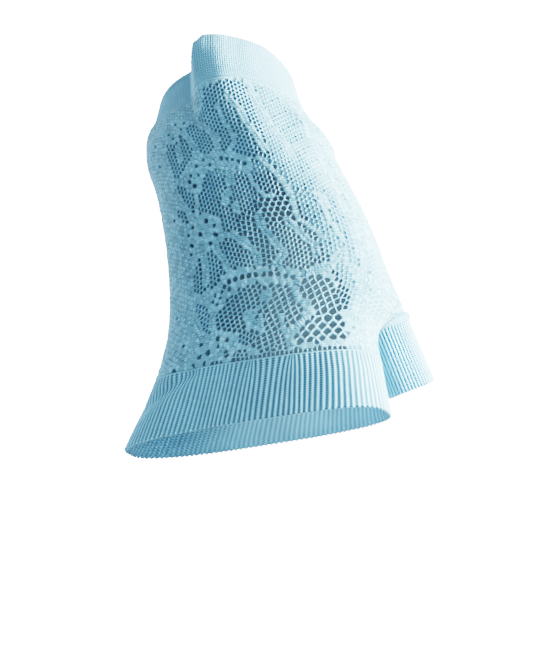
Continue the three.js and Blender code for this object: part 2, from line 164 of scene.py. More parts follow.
# Nets of the lace; columns: outline, the width of yarn left round a mesh, and the two steps
# of its meshes, along a row and to the next row, where they aren't the plain stitches' own
NETS = [
    [[(46, 20.5), (63, 18.5), (72, 20), (79, 33), (80, 48), (80, 62), (66, 62), (63.5, 56), (61, 50),
      (58, 48), (52.5, 46.5), (46, 44.2), (37, 43.5), (34, 37), (34, 30.5), (40, 29.5), (45, 26.5)],
     YARN_SNUG, (1.25, 0.68), (-0.05, 1.5)],
    [[(24, 35), (27.5, 32.5), (31, 33.5), (34, 38), (33.5, 42.5), (30, 45.5), (26, 48.5), (22.5, 49),
      (21.5, 43), (22.5, 38)], YARN_SNUG],
    [[(22, 51), (25.5, 53.5), (28.7, 57), (28, 64), (25, 64), (22.5, 57)], YARN_SNUG],
    [[(19.5, 61), (22, 60.5), (24, 66), (20.5, 67)], YARN_SNUG],
    [[(52.5, 64), (61, 62.8), (64, 62.5), (64.2, 70), (62.5, 73), (53.5, 71.3), (51.2, 68.3)],
     YARN_WIDE, (2.25, 0.1), (1.1, 1.85)],
    [[(44, 69.3), (50.5, 68.3), (51, 74), (54, 80), (56.5, 83), (51, 88.6), (48.7, 82), (45, 76.5)],
     YARN_WIDE, (1.75, 0.6), (-0.1, 1.75)],
    [[(33, 75), (41, 74.4), (46.5, 79.5), (48, 88.3), (39, 88.6), (36, 83), (33.5, 79)],
     YARN_FINE, (1.45, 0.5), (0.2, 1.7)],
    [[(31, 54), (35, 50.2), (42, 49.6), (51, 50), (53, 47.5), (60, 50.5), (63, 56), (65, 62), (72, 63),
      (75, 68), (77, 80), (75, 89), (66, 91), (60, 90.2), (50, 88.4), (47, 80), (40.5, 74.5), (37, 73),
      (36, 68), (33, 66.5), (29.5, 66), (28.5, 62)], YARN_FINE],
    [[(24.5, 81), (27, 79.5), (31, 78), (35, 84), (35.5, 88), (32, 90.5), (28, 92), (23, 93), (21.8, 87)],
     YARN_SNUG],
    [[(22.5, 95), (26, 95.5), (30, 99.5), (31, 103), (30.8, 108.5), (28, 107), (25, 101.5)], YARN_SNUG],
    [[(39.5, 92.6), (46.5, 92), (50, 94), (48.6, 99), (45, 104), (43.5, 107.8), (38.5, 108.4), (33, 107.4),
      (31.6, 102.6), (35, 97)], YARN_FINE, (1.33, -1.08), (0.67, 1.5)],
    [[(50.5, 92.6), (56.5, 92.6), (60, 96.5), (64.4, 102.5), (64.7, 107), (60, 109), (51.5, 108.4),
      (48, 105), (49, 99)], YARN_WIDE, (1.75, -1.17), (0.92, 1.58)],
    [[(60.8, 91.3), (68, 90.3), (74, 97), (78.5, 103.7), (70.5, 104), (66, 101.2), (61.8, 95.5)],
     YARN_WIDE, (1.8, -1.1), (1.2, 1.8)],
    [[(71, 89.5), (76, 88), (81, 96), (82, 104), (78.5, 103), (74.5, 96.5)], YARN_FINE],
    [[(75, 62), (80, 63), (80.5, 90), (77, 88)], YARN_FINE],
    [[(61.8, 109), (66, 104.8), (72, 104.2), (79.5, 104.7), (81.5, 110), (79.5, 114.8), (62, 114.6)],
     YARN_COARSE, (3.55, -0.25), (1.67, 2.1)],
    [[(49, 109), (55, 109), (59.8, 110), (60.8, 114), (60, 116.2), (50.5, 116.2), (47, 113)],
     YARN_WIDE, (2, -0.75), (0.5, 1.55)],
    [[(41.5, 107.5), (49, 108), (48.5, 112), (46, 113), (42.5, 111)], YARN_FINE],
    [[(35.4, 114.8), (46.5, 114), (47.5, 116.6), (36, 116.6)], YARN_FINE, (1.5, 0.2), (0.75, 1.5)],
]

# Veins of plain knitting through the nets; columns: width, line
VEINS = [
    [1.6, [(39, 29.5), (42.5, 33.5), (44.3, 37)]],
    [3, [(44.5, 37.5), (44.8, 40)]],
    [1.6, [(44.5, 41), (43.3, 43), (40.5, 44.5), (36.5, 45.5)]],
    [1.5, [(49.7, 27.5), (50.3, 33.5), (51.3, 38), (52, 40), (50, 42.5), (47.5, 44.5)]],
    [1.7, [(54, 24), (57, 30.5), (57.8, 36), (59.3, 41), (60.3, 46)]],
    [1.6, [(63, 19), (65.5, 27), (66, 35), (69, 42), (70, 49)]],
    [2.2, [(32.3, 31.5), (34.2, 36.5), (35.4, 40.5), (34, 43), (31, 45.5), (28.5, 47.3)]],
    [2.4, [(28.2, 36.5), (28, 40), (26.8, 43.5)]],
    [1.5, [(21.5, 49.3), (25, 52), (28, 54.5), (29.8, 56), (29.3, 59), (28.5, 63.5), (27.5, 67)]],
    [1.5, [(29.8, 56), (31.5, 53.3), (34, 50.5), (37, 48.8), (42, 48.3), (48, 48.6), (51, 51), (52.2, 54),
           (52.8, 57), (54, 60.5), (56, 62.2), (59, 62.4)]],
    [1.8, [(21.5, 56), (24, 62), (25.5, 66)]],
    [2.7, [(45.6, 51), (44.6, 53.5), (44.4, 56.5)]],
    [2.3, [(43, 58.6), (40.6, 59.8), (40.2, 63)]],
    [2.4, [(44, 63.2), (43.6, 66.8)]],
    [1.4, [(57.5, 48.5), (61, 54), (63, 58.5), (64.4, 64), (64.2, 68.5), (65, 72), (67.5, 74.5), (71, 78.5)]],
    [1.4, [(31.5, 74.6), (36, 73.7), (40.5, 74)]],
    [1.8, [(40.5, 74), (43, 77), (46, 79.7), (47.4, 83), (47.2, 88.5)]],
    [3, [(47, 82.4), (47.8, 84)]],
    [1.6, [(51, 68), (51.5, 73.5), (53.5, 76.7), (55.5, 80.5), (57.5, 82.5), (55, 85), (52.7, 87.8)]],
    [1.7, [(60.5, 72), (63.5, 75.5), (65.3, 78.5), (67.5, 81), (68, 85)]],
    [1.8, [(31, 75.5), (33.3, 79), (35.6, 83), (37.2, 89)]],
    [1.7, [(28, 75), (27.6, 80), (28, 83.5), (27.4, 87), (27, 90)]],
    [1.5, [(73, 66), (74, 73), (77, 80)]],
    [1.6, [(60.2, 91.6), (66, 90), (72, 88.2), (76, 83)]],
    [1.5, [(23, 94), (28, 96), (31.2, 98.7), (35, 95.4), (38, 93.4), (42, 91.8), (49, 91.4), (56, 91.8),
           (59, 92.8), (60.4, 96), (62.8, 99.5), (66, 102.5), (68.5, 104.3)]],
    [1.8, [(31.2, 98.7), (31, 102), (31.7, 106)]],
    [1.8, [(22.8, 100.5), (25.6, 104), (29.3, 109)]],
    [2.8, [(50, 95.6), (50, 98.2)]],
    [3, [(44.8, 101.5), (44.9, 103.6)]],
    [1.6, [(49.3, 103.8), (50.3, 107.5)]],
    [1.4, [(57, 104), (58.5, 108.5), (60.4, 113), (61.4, 116.5)]],
    [1.4, [(68.5, 103.8), (64.2, 107.6), (61.2, 111.5)]],
    [1.4, [(46.3, 113.5), (48.2, 117)]],
]

# The lace comes three times round the tube. The little-finger side, up to PLAIN_SIDE, is
# plain with eyelets, and eyelets up to REPEATED_FROM come once.
REPEATS = 3
PLAIN_SIDE = 19
REPEATED_FROM = 20

# Meshes on the glove's back, from OPEN_FROM to OPEN_TO, are open right through below
# OPEN_ALONG. Above it they are snug pits, and the eyelets are deeper holes. Those past
# PALM_FROM are pits. Those in between, on the thumb side, are dimples.
OPEN_ALONG = 50
OPEN_FROM = 14
PALM_FROM = 122
# columns: along, to_across
OPEN_TO = [[20, 62], [50, 62], [75, 68], [90, 73], [100, 80], [120, 80]]
OPEN_DEPTH = 0.4
PIT_DEPTH = 0.42
HOLE_DEPTH = 0.64
DIMPLE_DEPTH = 0.2

# Specks: deeper dimples up to SPECKS_TO, where two slanting waves add up to enough.
# columns: turn of the wave per mm across, and along
SPECK_WAVES = [[1.9, -0.5], [0.7, 1.1]]
SPECK_ABOVE = 1.15
SPECKS_TO = 86
SPECK_DEPTH = 0.34


def smooth(x):
    x = np.clip(x, 0, 1)
    return x * x * (3 - 2 * x)


def mix(a, b, part):
    return a + (b - a) * part


def half_turn(turn):
    return turn - np.floor(turn + 0.5)


def unit(vectors):
    return vectors / np.linalg.norm(vectors, axis=-1, keepdims=True)


def through(rows, part):
    """Smooth curve through the rows of a table."""
    place = part * (len(rows) - 1)
    i = min(int(place), len(rows) - 2)
    f = place - i
    here, after = rows[i], rows[i + 1]
    before = rows[i - 1] if i > 0 else 2 * here - after
    last = rows[i + 2] if i < len(rows) - 2 else 2 * after - here
    return 0.5 * (2 * here + (after - before) * f
                  + (2 * before - 5 * here + 4 * after - last) * f ** 2
                  + (3 * here - before - 3 * after + last) * f ** 3)


def rim_at(turn):
    """Rise, out and side of the wrist rim."""
    table = np.array(RIM, float)
    i = np.clip(np.searchsorted(table[:, 0], turn, side="right") - 1, 0, len(table) - 2)
    upper, lower = table[i], table[i + 1]
    part = smooth((turn - upper[:, 0]) / (lower[:, 0] - upper[:, 0]))
    return mix(upper, lower, part[:, None])[:, 1:].T


def fold_height(turn, z):
    height = np.zeros_like(turn)
    for turn_a, z_a, turn_b, z_b, width, rise in FOLDS:
        run_across = half_turn(turn_b - turn_a) * AROUND
        run_down = z_b - z_a
        across = half_turn(turn - turn_a) * AROUND
        down = z - z_a
        s = np.clip((across * run_across + down * run_down) / (run_across ** 2 + run_down ** 2), 0, 1)
        off = (across - s * run_across) ** 2 + (down - s * run_down) ** 2
        height += rise * np.exp(-off / width ** 2)
    return height


SAMPLE_COLUMNS = 720
SAMPLE_ROWS = 320
SECTION_POINTS = 720


def section_loop(row):
    """One section of the tube, evenly spaced round its outline."""
    z, x, y, half_width, half_depth, lean, roll, square = row
    angle = np.linspace(0, 2 * math.pi, SECTION_POINTS + 1)
    c, s = np.cos(angle), np.sin(angle)
    outline = np.stack([-half_width * np.sign(c) * np.abs(c) ** (2 / square),
                        -half_depth * np.sign(s) * np.abs(s) ** (2 / square)], 1)
    run = np.r_[0, np.cumsum(np.linalg.norm(np.diff(outline, axis=0), axis=1))]
    turn = np.arange(SAMPLE_COLUMNS) / SAMPLE_COLUMNS
    wide = np.interp(turn * run[-1], run, outline[:, 0])
    deep = np.interp(turn * run[-1], run, outline[:, 1])
    swell = 1 + fold_height(turn, z) / np.hypot(wide, deep)
    rise, out, side = rim_at(turn)
    fall = smooth(1 + z / RIM_DEPTH)
    wide = wide * swell + side * fall
    deep = deep * swell - out * fall
    lean, roll = math.radians(lean), math.radians(roll)
    lift = -deep * math.sin(lean) + wide * math.sin(roll) + rise * fall ** RIM_FALL
    return np.stack([x + wide * math.cos(roll), y + deep * math.cos(lean), z + lift], 1)


def sample_tube():
    table = np.array(SECTIONS, float)
    grid = np.array([section_loop(through(table, j / (SAMPLE_ROWS - 1))) for j in range(SAMPLE_ROWS)])
    step = np.linalg.norm(np.diff(grid, axis=0), axis=2).mean(1)
    down = np.r_[0, np.cumsum(step)]
    return grid, down * TUBE_LENGTH / down[-1]


TUBE_GRID, TUBE_DOWN = sample_tube()


def tube_points(across, along):
    j = np.clip(np.searchsorted(TUBE_DOWN, along) - 1, 0, SAMPLE_ROWS - 2)
    fj = ((along - TUBE_DOWN[j]) / (TUBE_DOWN[j + 1] - TUBE_DOWN[j]))[:, None]
    place = (across / AROUND) % 1 * SAMPLE_COLUMNS
    i = np.floor(place).astype(int)
    fi = (place - i)[:, None]
    i, after = i % SAMPLE_COLUMNS, (i + 1) % SAMPLE_COLUMNS
    upper = mix(TUBE_GRID[j, i], TUBE_GRID[j, after], fi)
    lower = mix(TUBE_GRID[j + 1, i], TUBE_GRID[j + 1, after], fi)
    return mix(upper, lower, fj)


RING_AXIS = unit(THUMB_AXIS)
RING_RIGHT = unit(THUMB_SIDEWAYS - THUMB_SIDEWAYS.dot(RING_AXIS) * RING_AXIS)
RING_FRONT = np.cross(RING_AXIS, RING_RIGHT)


def ring_direction(angle):
    turned = (angle + THUMB_TWIST)[:, None]
    return -np.cos(turned) * RING_FRONT - np.sin(turned) * RING_RIGHT


def cloth_points(across, along):
    """The tube, drawn out to the thumb ring round the thumb hole."""
    points = tube_points(across, along)
    side = half_turn((across - THUMB_ACROSS) / AROUND) * AROUND
    down = along - THUMB_ALONG
    far = np.hypot(side, down)
    pull = 1 - smooth((far - THUMB_HOLE) / (THUMB_REACH - THUMB_HOLE))
    angle = np.arctan2(down, side)
    flange = mix(FLANGE_ABOVE, FLANGE_BELOW, 0.5 + 0.5 * np.sin(angle))
    spread = THUMB_RING + flange * (far - THUMB_HOLE)
    ring = THUMB_CENTRE + ring_direction(angle) * spread[:, None]
    return mix(points, ring, pull[:, None])


NORMAL_STEP = 0.9


def cloth_places(across, along, out):
    """Points of the cloth, moved out along its normal."""
    side = cloth_points(across + NORMAL_STEP, along) - cloth_points(across - NORMAL_STEP, along)
    down = cloth_points(across, along + NORMAL_STEP) - cloth_points(across, along - NORMAL_STEP)
    normal = unit(np.cross(down, side))
    return cloth_points(across, along) + normal * out[:, None]


def thumb_places(angle, down, radius):
    return THUMB_CENTRE + ring_direction(angle) * radius[:, None] + RING_AXIS * down[:, None]


WELD_REACH = 0.002


def knit_object(name, bm, points, flat, painted_shading, weld):
    """Turns the flat knitting into a shaped object. Its UV map keeps the flat places, in metres."""
    mesh = bpy.data.meshes.new(name)
    bm.to_mesh(mesh)
    bm.free()
    corner = np.empty(len(mesh.loops), np.int32)
    mesh.loops.foreach_get("vertex_index", corner)
    mesh.uv_layers.new(name="knitting").uv.foreach_set("vector", (flat[corner] * MM).ravel())
    # painted shading per vertex, from painted shade (0) in valleys and pits to painted highlight (1) on
    # crests
    mesh.attributes.new("painted_shading", "FLOAT", "POINT").data.foreach_set("value", painted_shading)
    mesh.vertices.foreach_set("co", (points * MM).ravel())
    if weld:
        shaped = bmesh.new()
        shaped.from_mesh(mesh)
        bmesh.ops.remove_doubles(shaped, verts=shaped.verts, dist=WELD_REACH * MM)
        bmesh.ops.recalc_face_normals(shaped, faces=shaped.faces)
        shaped.to_mesh(mesh)
        shaped.free()
    mesh.shade_smooth()
    mesh.update()
    obj = bpy.data.objects.new(name, mesh)
    bpy.context.collection.objects.link(obj)
    return obj


def knit_ring(name, columns, stations, lay):
    """A knitted ring with an outer and an inner side: a flat grid, rolled up both ways.
    The stations run round the wall, and lay gives a vertex its place, flat place and painted shading."""
    bm = bmesh.new()
    bmesh.ops.create_grid(bm, x_segments=columns, y_segments=len(stations), size=0.5)
    grid = np.array([v.co[:2] for v in bm.verts]) + 0.5
    row = np.rint(grid[:, 1] * len(stations)).astype(int) % len(stations)
    along, out, ribs, stitches = np.array(stations, float)[row].T
    points, flat, painted_shading = lay(grid[:, 0], along, out, np.clip(ribs, 0, 1), np.clip(-ribs, 0, 1), stitches)
    return knit_object(name, bm, points, flat, painted_shading, weld=True)


# How narrow the crest of a rib is: the power of the sine across it
RIB_POWER = 1.7
BAND_POWER = 3.4
STITCH_LEAN = 0.9


def rib_height(place, power=RIB_POWER):
    """Height of a rib across its width, 0 in the valley and 1 on the crest."""
    return np.abs(np.sin(math.pi * place)) ** power


def stitch_height(place, along):
    """The stitches up a rib: a row of small Vs."""
    leg = STITCH_LEAN * np.abs((place % 1) - 0.5)
    return 0.5 + 0.5 * np.cos(2 * math.pi * (along / COURSE + leg))


WAVER_TURNS = (3, 5, 8, 13, 21)
WAVER_LEAN = 0.16


def waver(across, along, seed):
    """Slow seeded drift, the same all the way round, from -1 to 1."""
    dice = random.Random(seed)
    total = np.zeros_like(across)
    for turns in WAVER_TURNS:
        phase = dice.uniform(0, 2 * math.pi)
        lean = dice.uniform(-WAVER_LEAN, WAVER_LEAN)
        total += np.sin(2 * math.pi * turns * across / AROUND + phase + lean * along)
    return total / len(WAVER_TURNS)


# The rounded lips of a ring; columns: how far out past the end, how deep into the wall, ribs, stitches
LOWER_LIP = [
    [0.7, 0.2, 0.8, 0.3],
    [1, 0.5, 0.3, 0],
    [0.7, 0.8, -0.3, 0],
]
UPPER_LIP = [
    [0.5, 0.7, -0.3, 0],
    [0.5, 0.3, 0.5, 0],
]


def ring_stations(start, end, rows, inner_rows, lip, outside, inside):
    """Stations down the outside of a ring and back up its inside: along, out, ribs, stitches.
    ribs is 1 on the outside and -1 on the inside."""
    wall = outside - inside
    stations = [[mix(start, end, k / rows), outside, 1, 1] for k in range(rows + 1)]
    stations += [[end + lip * past, outside - wall * deep, *rest] for past, deep, *rest in LOWER_LIP]
    stations += [[mix(end, start, k / inner_rows), inside, -1, 0] for k in range(inner_rows + 1)]
    stations += [[start - lip * past, outside - wall * deep, *rest] for past, deep, *rest in UPPER_LIP]
    return stations


# Crest values, which set the painted shade and highlight of the tone: of even knitting, and how far the inner
# ribs leave it
EVEN_CREST = 0.45
INSIDE_CREST = 0.6

# How far the rings reach past their seam with the lace, and their vertices round a rib
RING_LAP = 0.08
RIB_VERTICES = 8
WALE_VERTICES = 4

# Finger band. Its inner ribs stand in the outer valleys and are a little lower. A level is
# the part of the relief that lies under the wall's own surface.
BAND_RELIEF = 0.24
BAND_LEVEL = 0.6
BAND_INNER_LEVEL = 0.4
INSIDE_RIBS = 0.8
BAND_STITCH = 0.16
BAND_UNEVEN = 0.12
BAND_LENGTH = TUBE_LENGTH - BAND_START
RIB_RISE = 0.9
HEM_REACH = 3
HEM_THINNER = 0.6
HEM_TEETH = 0.4
RIB_DRIFT = 0.2
RIB_DRIFT_END = 1.2

# The ribs crowd together and spread; columns: across, reach, how much nearer they come there
CROWDS = [
    [38, 9, 0.12],
    [55, 8, -0.11],
    [70, 7, 0.02],
    [12, 9, 0.1],
    [140, 20, -0.05],
]

# Where veins of the lace gather the band's ribs; columns: across, reach, pull, depth
GATHERS = [
    [48.6, 3.8, 0.65, 5],
    [61.8, 4, 0.6, 5],
    [24, 4, 0.35, 3],
    [83, 4, 0.35, 3],
]


def lay_band(part, along, out, outside, inside, stitches):
    across = part * AROUND
    place = part * RIBS
    rib = rib_height(place, BAND_POWER)
    down = along - BAND_START
    start = smooth(down / RIB_RISE + 0.3)
    end = smooth((TUBE_LENGTH - along) / RIB_DRIFT_END)
    height = out + outside * start * BAND_RELIEF * (rib - BAND_LEVEL)
    height -= inside * BAND_RELIEF * INSIDE_RIBS * (rib_height(place + 0.5) - BAND_INNER_LEVEL)
    height += stitches * start * BAND_STITCH * (stitch_height(place, along) - 0.5) * rib
    height += BAND_UNEVEN * waver(across, along, seed=5)
    height += inside * HEM_THINNER * smooth((along - TUBE_LENGTH + HEM_REACH) / HEM_REACH)
    hem = smooth((down - (BAND_LENGTH - HEM_REACH)) / HEM_REACH)
    teeth = hem * HEM_TEETH * (rib - 0.5) * (1 + 0.3 * waver(across * 3, along, seed=3))
    drift = RIB_DRIFT * waver(across, along * 1.7, seed=9) * start * end
    for middle, reach, nearer in CROWDS:
        off = half_turn((across - middle) / AROUND) * AROUND
        drift -= nearer * off * np.exp(-(off / reach) ** 2)
    for middle, reach, pull, depth in GATHERS:
        off = across - middle
        drift -= pull * off * np.exp(-(off / reach) ** 2 - np.maximum(0, down) / depth)
    points = cloth_places(across + drift, along + teeth, height)
    # painted shade in the valleys between the ribs and painted highlight on their crests
    painted_shading = mix(EVEN_CREST, rib, np.maximum(outside * start, inside * INSIDE_CREST))
    return points, np.stack([across, -along], 1), painted_shading


def finger_band():
    stations = ring_stations(start=BAND_START - RING_LAP, end=TUBE_LENGTH - 0.2, rows=72, inner_rows=12,
                             lip=0.25, outside=0.2, inside=-1.3)
    return knit_ring("finger_band_rib", RIBS * RIB_VERTICES, stations, lay_band)


# Wrist welt, with the crest values of its valleys (painted shade), tops (painted highlight), seam with the
# lace and inner side
WELT_RELIEF = 0.24
WELT_LEVEL = 0.6
WELT_STITCH = 0.05
WELT_UNEVEN = 0.14
WELT_DRIFT = 0.1
WELT_FADE = 1.5
WELT_EASE = 3
WELT_VALLEY = 0.3
WELT_TOP = 0.78
WELT_SEAM = 0.5
WELT_INSIDE = 0.6


def lay_welt(part, along, out, outside, inside, stitches):
    across = part * AROUND
    place = part * WELT_WALES
    wale = rib_height(place)
    fade = smooth((WELT_END - along) / WELT_FADE)
    height = out + (outside * fade - inside) * WELT_RELIEF * (wale - WELT_LEVEL)
    height += stitches * WELT_STITCH * (stitch_height(place, along) - 0.5) * wale
    height += WELT_UNEVEN * waver(across, along, seed=21) * smooth(along / WELT_EASE)
    drift = WELT_DRIFT * waver(across, along * 2, seed=23)
    points = cloth_places(across + drift, along, height)
    # painted shade in the valleys between the wales and painted highlight on their tops
    painted_shading = mix(WELT_INSIDE, mix(WELT_SEAM, mix(WELT_VALLEY, WELT_TOP, wale), fade), outside)
    return points, np.stack([across, -along], 1), painted_shading


def wrist_welt():
    stations = ring_stations(start=0.2, end=WELT_END + RING_LAP, rows=60, inner_rows=10,
                             lip=0.1, outside=0.15, inside=-1.2)
    return knit_ring("wrist_welt_rib", WELT_WALES * WALE_VERTICES, stations, lay_welt)


# Thumb cuff. Its profile starts with the thick seam; columns: down, radius
CUFF_RELIEF = 0.5
CUFF_LEVEL = 0.7
CUFF_INNER_LEVEL = 0.5
CUFF_UNEVEN = 0.12
CUFF_SEAM = 1.6
CUFF_PROFILE = [[0.2, 8.8], [1, 9.7], [1.9, 9.75], [3.2, 8.9], [5, 8.7], [12, 8.75], [25, 9.05]]


def lay_cuff(part, down, out, outside, inside, stitches):
    angle = part * 2 * math.pi
    place = part * CUFF_RIBS
    rib = rib_height(place)
    start = smooth((down - CUFF_SEAM) / CUFF_SEAM)
    profile = np.array(CUFF_PROFILE)
    radius = np.interp(down, profile[:, 0], profile[:, 1])
    height = out + outside * start * CUFF_RELIEF * (rib - CUFF_LEVEL)
    height -= inside * CUFF_RELIEF * INSIDE_RIBS * (rib_height(place + 0.5) - CUFF_INNER_LEVEL)
    height += stitches * start * BAND_STITCH * (stitch_height(place, down) - 0.5) * rib
    height += CUFF_UNEVEN * np.sin(3 * angle + 0.13 * down)
    teeth = smooth((down - (CUFF_LENGTH - HEM_REACH)) / HEM_REACH) * HEM_TEETH * (rib - 0.5)
    points = thumb_places(angle, down + teeth, radius + height)
    # painted shade in the valleys between the ribs and painted highlight on their crests
    painted_shading = mix(EVEN_CREST, rib, np.maximum(outside * start, inside * INSIDE_CREST))
    across = part * 2 * math.pi * THUMB_RING
    return points, np.stack([across, -down], 1), painted_shading


def thumb_cuff():
    stations = ring_stations(start=0.25, end=CUFF_LENGTH, rows=86, inner_rows=20,
                             lip=0.3, outside=0.1, inside=-1.3)
    return knit_ring("thumb_cuff_rib", CUFF_RIBS * RIB_VERTICES, stations, lay_cuff)


def inside_outline(outline, points):
    """Which of the points lie inside a closed outline."""
    within = np.zeros(len(points), bool)
    x, y = points[:, 0], points[:, 1]
    for (x1, y1), (x2, y2) in zip(outline, outline[1:] + outline[:1]):
        if y1 == y2:
            continue
        crosses = (y1 > y) != (y2 > y)
        within ^= crosses & (x < x1 + (y - y1) * (x2 - x1) / (y2 - y1))
    return within


# Room, in mm: beside the thumb hole and the ends of the lace, and round each kind of stitch
THUMB_MARGIN = 0.5
END_MARGIN = 0.45
STITCH_ROOM = 1.02
HOLE_YARN = 0.42
HOLE_ROOM = 0.25
RING_STITCH = 1.7
RING_ROOM = 1
VEIN_STITCH = 1.05
VEIN_ROW = 0.9
VEIN_ROOM = 0.85
VEIN_AHEAD = 0.3
NET_ROOM = 0.75


class Needles:
    """The middles of the stitches and meshes. A new one is left out too near an old one."""
    BUCKET = 4

    def __init__(self):
        self.sites = []
        self.buckets = {}

    def free(self, across, along):
        i, j = int(across // self.BUCKET), int(along // self.BUCKET)
        near = [self.sites[k] for a in (i - 1, i, i + 1) for b in (j - 1, j, j + 1)
                for k in self.buckets.get((a, b), [])]
        return all(math.dist((across, along), site[:2]) >= site[3] for site in near)

    def add(self, across, along, yarn, room):
        """yarn is the width left round a mesh, or 0 for a plain stitch. room is how near to
        this one the later ones may come."""
        across %= AROUND
        clear_thumb = math.hypot(across - THUMB_ACROSS, along - THUMB_ALONG) > THUMB_HOLE + THUMB_MARGIN
        inside = LACE_TOP + END_MARGIN < along < LACE_BOTTOM - END_MARGIN
        if not (clear_thumb and inside and self.free(across, along)):
            return
        key = (int(across // self.BUCKET), int(along // self.BUCKET))
        self.buckets.setdefault(key, []).append(len(self.sites))
        self.sites.append((across, along, yarn, room))


def vein_stitches(width, line):
    """Plain stitches along a vein, in one row or more side by side."""
    line = np.array(line, float)
    run = np.r_[0, np.cumsum(np.linalg.norm(np.diff(line, axis=0), axis=1))]

    def on_line(down):
        return np.array([np.interp(down, run, line[:, k]) for k in (0, 1)])

    rows = max(1, round(width / VEIN_STITCH))
    stitches = []
    for row in range(rows):
        off = (row - (rows - 1) / 2) * VEIN_STITCH * VEIN_ROW
        for down in np.arange(row % 2 * 0.5 * VEIN_STITCH, run[-1] + 0.01, VEIN_STITCH):
            here = on_line(down)
            ahead = unit(on_line(down + VEIN_AHEAD) - on_line(down - VEIN_AHEAD))
            stitches.append((here[0] - ahead[1] * off, here[1] + ahead[0] * off))
    return stitches


NET_REACH = 20


def net_places(outline, step, row):
    """The meshes of a net, in its own two steps."""
    start = np.mean(outline, axis=0)
    reach = np.arange(-NET_REACH, NET_REACH + 1)
    i, j = (n.ravel() for n in np.meshgrid(reach, reach))
    points = start + np.outer(i, step) + np.outer(j, row)
    return points[inside_outline(outline, points)]


def repeats_of(x, y):
    """Where a place of the chart comes back round the tube."""
    places = [((x + k * AROUND / REPEATS) % AROUND, y) for k in range(REPEATS)]
    return places[:1] + [place for place in places[1:] if place[0] > PLAIN_SIDE]


def charted_holes(needles):
    """Eyelets and arches, each ringed by plain stitches."""
    charted = [(x, y, sum(size) / 2 if size else SMALL_HOLE) for x, y, *size in EYELETS]
    for from_across, from_along, to_across, to_along, bow, count, hole in ARCHES:
        for k in range(count):
            f = k / (count - 1)
            rise = bow * 4 * f * (1 - f)
            charted.append((mix(from_across, to_across, f), mix(from_along, to_along, f) - rise, hole))
    holes = []
    for x, y, hole in charted:
        places = repeats_of(x, y) if x > REPEATED_FROM else [(x, y)]
        holes += [(*place, hole) for place in places]
    for x, y, hole in holes:
        needles.add(x, y, HOLE_YARN, hole / 2 + HOLE_YARN + HOLE_ROOM)
    for x, y, hole in holes:
        away = hole + 2 * HOLE_YARN
        count = round(2 * math.pi * away / RING_STITCH)
        for k in range(count):
            a = 2 * math.pi * (k + 0.5) / count
            needles.add(x + away * math.cos(a), y + away * math.sin(a), 0, RING_ROOM)


# The ring of stitches round the thumb hole, and the first and last courses. The last one
# has a mesh or a stitch over each valley between two ribs of the band.
THUMB_STITCHES = 39
THUMB_SEAM = 0.8
FIRST_COURSE = 0.5
LAST_COURSE = 0.85
LAST_MESHES_FROM = 33
LAST_MESHES_TO = 84
STITCH_DRIFT = 0.05
DRIFT_SEED = 11


def all_needles():
    """Every stitch and mesh of the lace. What is charted goes before the plain courses."""
    needles = Needles()
    dice = random.Random(DRIFT_SEED)
    charted_holes(needles)
    for k in range(THUMB_STITCHES):
        a = 2 * math.pi * k / THUMB_STITCHES
        away = THUMB_HOLE + THUMB_SEAM
        needles.add(THUMB_ACROSS + away * math.cos(a), THUMB_ALONG + away * math.sin(a), 0, STITCH_ROOM)
    for k in range(RIBS):
        x = k * AROUND / RIBS
        yarn = YARN_FINE if LAST_MESHES_FROM < x < LAST_MESHES_TO else 0
        needles.add(x, LACE_BOTTOM - LAST_COURSE, yarn, STITCH_ROOM)
    for width, line in VEINS:
        for x, y in vein_stitches(width, line):
            for place in repeats_of(x, y):
                needles.add(*place, 0, VEIN_STITCH * VEIN_ROOM)
    for outline, yarn, *steps in NETS:
        if steps:
            for x, y in net_places(outline, *steps):
                for place in repeats_of(x, y):
                    needles.add(*place, yarn, min(np.linalg.norm(steps, axis=1)) * NET_ROOM)
    rows = int((LACE_BOTTOM - LACE_TOP) / STITCH_ALONG) + 1
    columns, courses = (n.ravel() for n in np.meshgrid(np.arange(LACE_COLUMNS), np.arange(rows)))
    drop = columns * COLUMN_DROP % STITCH_ALONG
    points = np.stack([columns * STITCH_ACROSS, LACE_TOP + FIRST_COURSE + courses * STITCH_ALONG + drop], 1)
    chart = np.stack([(points[:, 0] - PLAIN_SIDE) % (AROUND / REPEATS) + PLAIN_SIDE, points[:, 1]], 1)
    widths = np.zeros(len(points))
    for outline, yarn, *_ in NETS:
        widths[inside_outline(outline, chart) & (widths == 0)] = yarn
    widths[points[:, 0] < PLAIN_SIDE] = 0
    for (x, y), yarn in zip(points, widths):
        needles.add(x + dice.uniform(-STITCH_DRIFT, STITCH_DRIFT),
                    y + dice.uniform(-STITCH_DRIFT, STITCH_DRIFT), yarn, STITCH_ROOM)
    return needles.sites


# How far from the start of the turn, from an end and from the thumb hole sites are repeated
TURN_MARGIN = 8
END_MIRROR = 3
THUMB_MIRROR = 2.2


def with_ghosts(sites):
    """Repeats the sites past the start of the turn, and mirrors those near a border in it,
    so that the borders of the net come out straight, or round at the thumb."""
    repeated = list(sites)
    repeated += [(x + AROUND, y, yarn, room) for x, y, yarn, room in sites if x < TURN_MARGIN]
    repeated += [(x - AROUND, y, yarn, room) for x, y, yarn, room in sites if x > AROUND - TURN_MARGIN]
    ghosts = []
    for x, y, _, _ in repeated:
        if y < LACE_TOP + END_MIRROR:
            ghosts.append((x, 2 * LACE_TOP - y))
        if y > LACE_BOTTOM - END_MIRROR:
            ghosts.append((x, 2 * LACE_BOTTOM - y))
        side, down = x - THUMB_ACROSS, y - THUMB_ALONG
        far = math.hypot(side, down)
        if far < THUMB_HOLE + THUMB_MIRROR:
            scale = (2 * THUMB_HOLE - far) / far
            ghosts.append((THUMB_ACROSS + side * scale, THUMB_ALONG + down * scale))
    return repeated, ghosts


KNOT_REACH = 0.28


